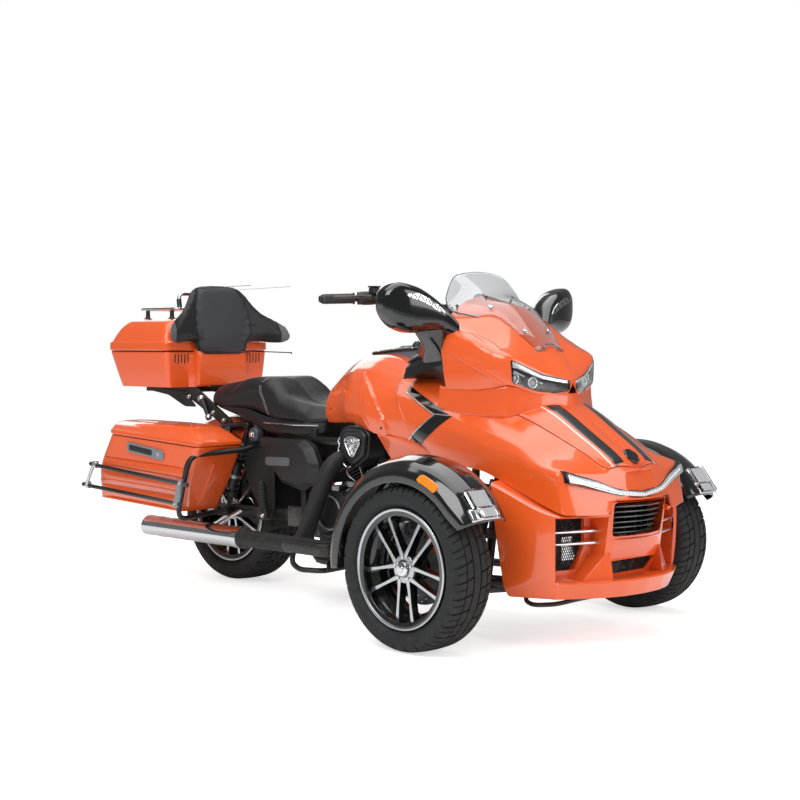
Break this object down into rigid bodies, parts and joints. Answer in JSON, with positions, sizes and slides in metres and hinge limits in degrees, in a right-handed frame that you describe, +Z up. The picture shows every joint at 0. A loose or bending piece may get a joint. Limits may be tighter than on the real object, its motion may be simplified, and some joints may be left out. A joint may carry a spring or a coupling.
{
  "type": "reverse trike touring motorcycle",
  "caption": "Orange reverse trike: two steered front wheels, one rear wheel, V-twin, hinged saddlebags and top case.",
  "frame": {"origin": "on the ground under the middle of the vehicle", "axes": "+X forward, +Y to the rider's left, +Z up"},
  "size_m": [2.784, 1.426, 1.299],
  "materials": {
    "orange_paint": "gloss",
    "black_gloss": "gloss",
    "black_plastic": "matte",
    "black_metal": "satin",
    "chrome": "polished",
    "cast_alloy": "satin",
    "tyre_rubber": "matte",
    "seat_leather": "satin",
    "clear_lens": "polished"
  },
  "bodies": {
    "chassis": {"air_cleaner": "black_gloss", "backrest": "seat_leather", "carrier": "black_metal", "case_base": "orange_paint", "cockpit": "black_gloss", "engine": "black_metal", "engine_cylinders": "cast_alloy", "exhaust_headers": "black_metal", "fairing": "orange_paint", "footboards": "black_plastic", "frame": "black_metal", "front_body": "orange_paint", "front_suspension": "black_metal", "grille_insert": "black_plastic", "guards": "black_metal", "headlights": "clear_lens", "hood": "orange_paint", "hood_vents": "black_gloss", "light_bar": "clear_lens", "mirrors": "black_gloss", "mufflers": "chrome", "nose_body": "orange_paint", "rear_fender": "orange_paint", "rear_shocks": "black_metal", "saddlebags": "orange_paint", "seat": "seat_leather", "side_covers": "black_plastic", "swingarm": "black_metal", "tank": "orange_paint", "tank_console": "black_plastic", "windshield": "clear_lens"},
    "handlebar": {"handlebar": "black_metal"},
    "knuckle_right": {"knuckle_right": "black_metal", "front_fender_right": "black_gloss"},
    "knuckle_left": {"knuckle_left": "black_metal", "front_fender_left": "black_gloss"},
    "wheel_front_right": {"tyre_front_right": "tyre_rubber", "rim_front_right": "cast_alloy"},
    "wheel_front_left": {"tyre_front_left": "tyre_rubber", "rim_front_left": "cast_alloy"},
    "wheel_rear": {"tyre_rear": "tyre_rubber", "rim_rear": "cast_alloy"},
    "bag_lid_right": {"saddlebag_lid_right": "orange_paint"},
    "bag_lid_left": {"saddlebag_lid_left": "orange_paint"},
    "case_top": {"case_lid": "orange_paint", "luggage_rack": "chrome"}
  },
  "joints": [
    {"name": "handlebar_steer", "type": "hinge", "parent": "chassis", "child": "handlebar", "pos_m": [0.43, 0, 1], "axis": [-0.4067, 0, 0.9135], "range_deg": [-25, 25]},
    {"name": "kingpin_right", "type": "hinge", "parent": "chassis", "child": "knuckle_right", "pos_m": [0.88, -0.554, 0.281], "axis": [0, 0, 1], "range_deg": [-20, 20]},
    {"name": "spin_front_right", "type": "hinge", "parent": "knuckle_right", "child": "wheel_front_right", "pos_m": [0.88, -0.62, 0.281], "axis": [0, 1, 0], "continuous": true},
    {"name": "bag_lid_hinge_right", "type": "hinge", "parent": "chassis", "child": "bag_lid_right", "pos_m": [-0.841, -0.199, 0.6215], "axis": [-0.9987, 0, 0.0501], "range_deg": [0, 50]},
    {"name": "kingpin_left", "type": "hinge", "parent": "chassis", "child": "knuckle_left", "pos_m": [0.88, 0.554, 0.281], "axis": [0, 0, 1], "range_deg": [-20, 20]},
    {"name": "spin_front_left", "type": "hinge", "parent": "knuckle_left", "child": "wheel_front_left", "pos_m": [0.88, 0.62, 0.281], "axis": [0, 1, 0], "continuous": true},
    {"name": "bag_lid_hinge_left", "type": "hinge", "parent": "chassis", "child": "bag_lid_left", "pos_m": [-0.841, 0.199, 0.6215], "axis": [0.9987, 0, -0.0501], "range_deg": [0, 50]},
    {"name": "spin_rear", "type": "hinge", "parent": "chassis", "child": "wheel_rear", "pos_m": [-0.79, 0, 0.311], "axis": [0, 1, 0], "continuous": true},
    {"name": "case_lid_hinge", "type": "hinge", "parent": "chassis", "child": "case_top", "pos_m": [-1.397, 0, 0.995], "axis": [0, -1, 0], "range_deg": [0, 65]}
  ],
  "couplings": [
    {"joint": "kingpin_right", "follows": "handlebar_steer", "ratio": 0.8},
    {"joint": "kingpin_left", "follows": "handlebar_steer", "ratio": 0.8}
  ]
}
